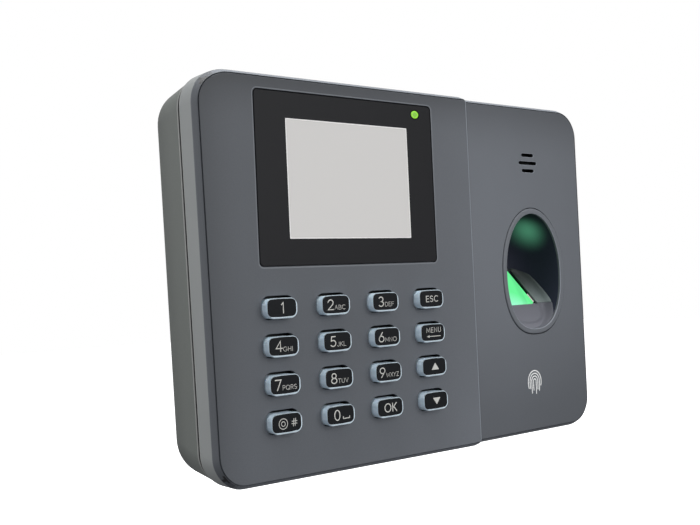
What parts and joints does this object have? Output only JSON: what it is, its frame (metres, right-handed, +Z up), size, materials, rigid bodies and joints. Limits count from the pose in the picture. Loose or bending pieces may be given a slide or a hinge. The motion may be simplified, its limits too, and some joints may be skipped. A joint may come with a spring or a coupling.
{
  "type": "fingerprint scanner terminal",
  "caption": "Wall-mounted terminal with a colour display, a rubber keypad and an oval finger recess over a sloping, green-lit optical sensor window.",
  "frame": {"origin": "centre of the wall plate's back face, on the wall", "axes": "+X to the right seen from the front, +Y into the wall, +Z up"},
  "size_m": [0.2, 0.0375, 0.146],
  "materials": {
    "cover_plastic": "fine matte texture, dark slate grey",
    "housing_plastic": "fine matte texture, dark grey-green",
    "guide_plastic": "fine matte texture, dark slate grey",
    "lens_black": "satin black back-printed acrylic",
    "lcd_glass": "unlit display, pale warm grey",
    "white_plastic": "white",
    "thin_steel": "plain",
    "board_green": "solder mask",
    "led_green": "lit green",
    "flex_amber": "polyimide film",
    "shroud_black": "black",
    "platen_glass": "clear optical block lit green",
    "optics_black": "black",
    "silicone_blue": "translucent pale blue silicone, black printed top",
    "chip_black": "black",
    "heat_aluminium": "satin",
    "capacitor_sleeve": "dark blue sleeve",
    "relay_blue": "blue",
    "jack_metal": "tinned",
    "terminal_green": "green",
    "button_white": "white",
    "speaker_black": "black",
    "speaker_paper": "black film",
    "wire_red": "red",
    "plate_steel": "zinc plated",
    "screw_steel": "plated"
  },
  "bodies": {
    "terminal": {"front_cover": "cover_plastic", "rear_housing": "housing_plastic", "display_lens": "lens_black", "lcd_panel": "lcd_glass", "lcd_backlight": "white_plastic", "lcd_bezel": "thin_steel", "display_board": "board_green", "status_led": "led_green", "light_pipe": "led_green", "display_ribbon": "flex_amber", "finger_guide": "guide_plastic", "sensor_shroud": "shroud_black", "platen_prism": "platen_glass", "sensor_housing": "optics_black", "sensor_light_board": "board_green", "sensor_lens": "optics_black", "sensor_board": "board_green", "sensor_ribbon": "flex_amber", "keypad_mat": "silicone_blue", "keypad_board": "board_green", "keypad_ribbon": "flex_amber", "main_board": "board_green", "processor": "chip_black", "heat_sink": "heat_aluminium", "capacitors": "capacitor_sleeve", "relay": "relay_blue", "coin_cell": "thin_steel", "coin_cell_holder": "chip_black", "ethernet_jack": "jack_metal", "dc_jack": "chip_black", "terminal_block": "terminal_green", "usb_port": "jack_metal", "reset_switch": "chip_black", "tamper_switch": "chip_black", "speaker": "speaker_black", "speaker_cone": "speaker_paper", "speaker_wires": "wire_red", "wall_plate": "plate_steel", "housing_screws": "screw_steel", "internal_screws": "screw_steel", "plate_lock_screw": "screw_steel"},
    "key_1": {"key_1": "silicone_blue"},
    "key_2": {"key_2": "silicone_blue"},
    "key_3": {"key_3": "silicone_blue"},
    "key_esc": {"key_esc": "silicone_blue"},
    "key_4": {"key_4": "silicone_blue"},
    "key_5": {"key_5": "silicone_blue"},
    "key_6": {"key_6": "silicone_blue"},
    "key_menu": {"key_menu": "silicone_blue"},
    "key_7": {"key_7": "silicone_blue"},
    "key_8": {"key_8": "silicone_blue"},
    "key_9": {"key_9": "silicone_blue"},
    "key_up": {"key_up": "silicone_blue"},
    "key_hash": {"key_hash": "silicone_blue"},
    "key_0": {"key_0": "silicone_blue"},
    "key_ok": {"key_ok": "silicone_blue"},
    "key_down": {"key_down": "silicone_blue"},
    "reset_button": {"reset_button": "button_white"},
    "tamper_plunger": {"tamper_plunger": "button_white"}
  },
  "joints": [
    {"name": "key_1_press", "type": "slide", "parent": "terminal", "child": "key_1", "axis": [0, 1, 0], "range_m": [0, 0.0012], "stiffness_N_per_m": 400},
    {"name": "key_2_press", "type": "slide", "parent": "terminal", "child": "key_2", "axis": [0, 1, 0], "range_m": [0, 0.0012], "stiffness_N_per_m": 400},
    {"name": "key_3_press", "type": "slide", "parent": "terminal", "child": "key_3", "axis": [0, 1, 0], "range_m": [0, 0.0012], "stiffness_N_per_m": 400},
    {"name": "key_esc_press", "type": "slide", "parent": "terminal", "child": "key_esc", "axis": [0, 1, 0], "range_m": [0, 0.0012], "stiffness_N_per_m": 400},
    {"name": "key_4_press", "type": "slide", "parent": "terminal", "child": "key_4", "axis": [0, 1, 0], "range_m": [0, 0.0012], "stiffness_N_per_m": 400},
    {"name": "key_5_press", "type": "slide", "parent": "terminal", "child": "key_5", "axis": [0, 1, 0], "range_m": [0, 0.0012], "stiffness_N_per_m": 400},
    {"name": "key_6_press", "type": "slide", "parent": "terminal", "child": "key_6", "axis": [0, 1, 0], "range_m": [0, 0.0012], "stiffness_N_per_m": 400},
    {"name": "key_menu_press", "type": "slide", "parent": "terminal", "child": "key_menu", "axis": [0, 1, 0], "range_m": [0, 0.0012], "stiffness_N_per_m": 400},
    {"name": "key_7_press", "type": "slide", "parent": "terminal", "child": "key_7", "axis": [0, 1, 0], "range_m": [0, 0.0012], "stiffness_N_per_m": 400},
    {"name": "key_8_press", "type": "slide", "parent": "terminal", "child": "key_8", "axis": [0, 1, 0], "range_m": [0, 0.0012], "stiffness_N_per_m": 400},
    {"name": "key_9_press", "type": "slide", "parent": "terminal", "child": "key_9", "axis": [0, 1, 0], "range_m": [0, 0.0012], "stiffness_N_per_m": 400},
    {"name": "key_up_press", "type": "slide", "parent": "terminal", "child": "key_up", "axis": [0, 1, 0], "range_m": [0, 0.0012], "stiffness_N_per_m": 400},
    {"name": "key_hash_press", "type": "slide", "parent": "terminal", "child": "key_hash", "axis": [0, 1, 0], "range_m": [0, 0.0012], "stiffness_N_per_m": 400},
    {"name": "key_0_press", "type": "slide", "parent": "terminal", "child": "key_0", "axis": [0, 1, 0], "range_m": [0, 0.0012], "stiffness_N_per_m": 400},
    {"name": "key_ok_press", "type": "slide", "parent": "terminal", "child": "key_ok", "axis": [0, 1, 0], "range_m": [0, 0.0012], "stiffness_N_per_m": 400},
    {"name": "key_down_press", "type": "slide", "parent": "terminal", "child": "key_down", "axis": [0, 1, 0], "range_m": [0, 0.0012], "stiffness_N_per_m": 400},
    {"name": "reset_press", "type": "slide", "parent": "terminal", "child": "reset_button", "axis": [0, 0, 1], "range_m": [0, 0.0004], "stiffness_N_per_m": 500},
    {"name": "tamper_press", "type": "slide", "parent": "terminal", "child": "tamper_plunger", "axis": [0, -1, 0], "range_m": [0, 0.001], "stiffness_N_per_m": 300}
  ]
}
